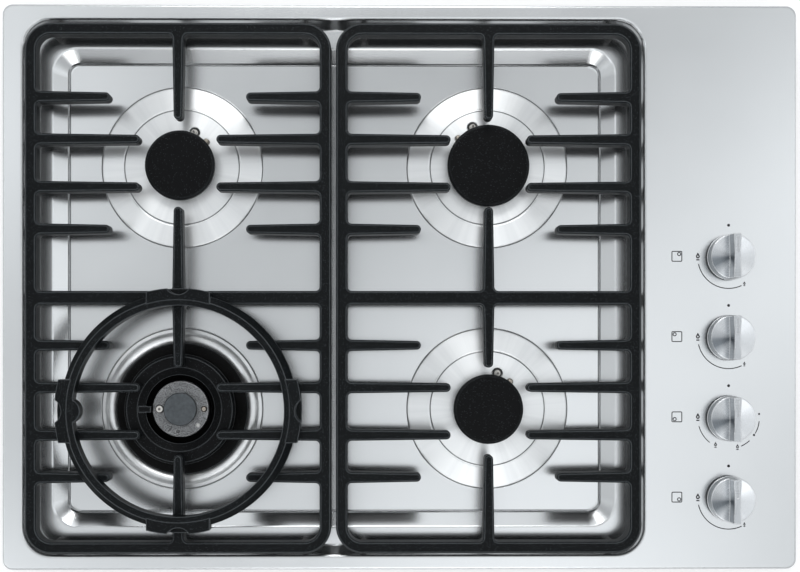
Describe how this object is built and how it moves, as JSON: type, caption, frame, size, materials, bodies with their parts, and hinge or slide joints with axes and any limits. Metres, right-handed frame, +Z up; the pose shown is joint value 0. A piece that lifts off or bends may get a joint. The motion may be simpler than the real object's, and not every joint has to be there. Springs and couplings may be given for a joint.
{
  "type": "gas cooktop",
  "caption": "Built-in gas cooktop with a pressed steel top, round burners, a wok burner under its ring, cast grates and push-and-turn knobs on the right.",
  "frame": {"origin": "underside of the steel box, below the middle of the top plate", "axes": "+X to the right towards the knobs (seen by the cook), +Y to the rear, +Z up"},
  "size_m": [0.762, 0.542, 0.092],
  "materials": {
    "stainless_top": "satin",
    "steel_box": "bare galvanised sheet, matt",
    "foam_seal": "matt foam",
    "cap_enamel": "satin black enamel with fine speckle",
    "centre_cap_metal": "smooth dark satin",
    "grate_enamel": "matt black enamel with fine speckle",
    "rubber": "matt",
    "burner_aluminium": "cast, matt",
    "core_casting": "rough casting with wear",
    "electrode_ceramic": "white ceramic",
    "sensor_metal": "satin",
    "knob_metal": "satin silver",
    "brass": "turned",
    "tap_body": "die cast",
    "spindle_steel": "plain",
    "rail_steel": "plated",
    "tube_aluminium": "plain",
    "black_plastic": "matt",
    "clamp_steel": "plated",
    "screw_steel": "plated"
  },
  "bodies": {
    "hob": {"box_floor": "steel_box", "box_walls": "steel_box", "burner_base_front_right": "burner_aluminium", "burner_base_rear_left": "burner_aluminium", "burner_base_rear_right": "burner_aluminium", "cable_gland": "black_plastic", "electrode_front_right": "electrode_ceramic", "electrode_rear_left": "electrode_ceramic", "electrode_rear_right": "electrode_ceramic", "electrode_wok": "electrode_ceramic", "flame_ring_front_right": "burner_aluminium", "flame_ring_rear_left": "burner_aluminium", "flame_ring_rear_right": "burner_aluminium", "flame_sensor_front_right": "sensor_metal", "flame_sensor_rear_left": "sensor_metal", "flame_sensor_rear_right": "sensor_metal", "flame_sensor_wok": "sensor_metal", "flange_seal": "foam_seal", "gas_inlet": "rail_steel", "gas_rail": "rail_steel", "gas_tube_front_right": "tube_aluminium", "gas_tube_rear_left": "tube_aluminium", "gas_tube_rear_right": "tube_aluminium", "gas_tubes_wok": "tube_aluminium", "ignition_module": "black_plastic", "injectors": "brass", "knob_seals": "rubber", "screws": "screw_steel", "tap_1": "tap_body", "tap_2": "tap_body", "tap_3": "tap_body", "tap_4": "tap_body", "terminal_box": "black_plastic", "top_plate": "stainless_top", "wok_base": "burner_aluminium", "wok_core": "core_casting", "wok_flame_ring": "burner_aluminium", "wok_ring_cap": "cap_enamel", "worktop_clamps": "clamp_steel"},
    "left_grate": {"grate_left": "grate_enamel", "grate_feet_left": "rubber"},
    "right_grate": {"grate_right": "grate_enamel", "grate_feet_right": "rubber"},
    "ring": {"wok_ring": "grate_enamel"},
    "centre_cap": {"wok_centre_cap": "centre_cap_metal"},
    "cap_rear_left": {"burner_cap_rear_left": "cap_enamel"},
    "cap_rear_right": {"burner_cap_rear_right": "cap_enamel"},
    "cap_front_right": {"burner_cap_front_right": "cap_enamel"},
    "plug_1": {"tap_plug_1": "brass"},
    "knob_1": {"spindle_1": "spindle_steel", "knob_1": "knob_metal"},
    "plug_2": {"tap_plug_2": "brass"},
    "knob_2": {"spindle_2": "spindle_steel", "knob_2": "knob_metal"},
    "plug_3": {"tap_plug_3": "brass"},
    "knob_3": {"spindle_3": "spindle_steel", "knob_3": "knob_metal"},
    "plug_4": {"tap_plug_4": "brass"},
    "knob_4": {"spindle_4": "spindle_steel", "knob_4": "knob_metal"}
  },
  "joints": [
    {"name": "left_grate_lift", "type": "slide", "parent": "hob", "child": "left_grate", "axis": [0, 0, 1], "range_m": [0, 0.06]},
    {"name": "right_grate_lift", "type": "slide", "parent": "hob", "child": "right_grate", "axis": [0, 0, 1], "range_m": [0, 0.06]},
    {"name": "ring_lift", "type": "slide", "parent": "left_grate", "child": "ring", "axis": [0, 0, 1], "range_m": [0, 0.05]},
    {"name": "centre_cap_lift", "type": "slide", "parent": "hob", "child": "centre_cap", "axis": [0, 0, 1], "range_m": [0, 0.03]},
    {"name": "cap_rear_left_lift", "type": "slide", "parent": "hob", "child": "cap_rear_left", "axis": [0, 0, 1], "range_m": [0, 0.03]},
    {"name": "cap_rear_right_lift", "type": "slide", "parent": "hob", "child": "cap_rear_right", "axis": [0, 0, 1], "range_m": [0, 0.03]},
    {"name": "cap_front_right_lift", "type": "slide", "parent": "hob", "child": "cap_front_right", "axis": [0, 0, 1], "range_m": [0, 0.03]},
    {"name": "knob_1_turn", "type": "hinge", "parent": "hob", "child": "plug_1", "pos_m": [0.3153, 0.02865, 0.046], "axis": [0, 0, 1], "range_deg": [0, 212]},
    {"name": "knob_1_push", "type": "slide", "parent": "plug_1", "child": "knob_1", "axis": [0, 0, -1], "range_m": [0, 0.003], "stiffness_N_per_m": 1500, "springref_m": -0.002},
    {"name": "knob_2_turn", "type": "hinge", "parent": "hob", "child": "plug_2", "pos_m": [0.3153, -0.04845, 0.046], "axis": [0, 0, 1], "range_deg": [0, 212]},
    {"name": "knob_2_push", "type": "slide", "parent": "plug_2", "child": "knob_2", "axis": [0, 0, -1], "range_m": [0, 0.003], "stiffness_N_per_m": 1500, "springref_m": -0.002},
    {"name": "knob_3_turn", "type": "hinge", "parent": "hob", "child": "plug_3", "pos_m": [0.3153, -0.12555, 0.046], "axis": [0, 0, 1], "range_deg": [0, 277]},
    {"name": "knob_3_push", "type": "slide", "parent": "plug_3", "child": "knob_3", "axis": [0, 0, -1], "range_m": [0, 0.003], "stiffness_N_per_m": 1500, "springref_m": -0.002},
    {"name": "knob_4_turn", "type": "hinge", "parent": "hob", "child": "plug_4", "pos_m": [0.3153, -0.20265, 0.046], "axis": [0, 0, 1], "range_deg": [0, 212]},
    {"name": "knob_4_push", "type": "slide", "parent": "plug_4", "child": "knob_4", "axis": [0, 0, -1], "range_m": [0, 0.003], "stiffness_N_per_m": 1500, "springref_m": -0.002}
  ]
}
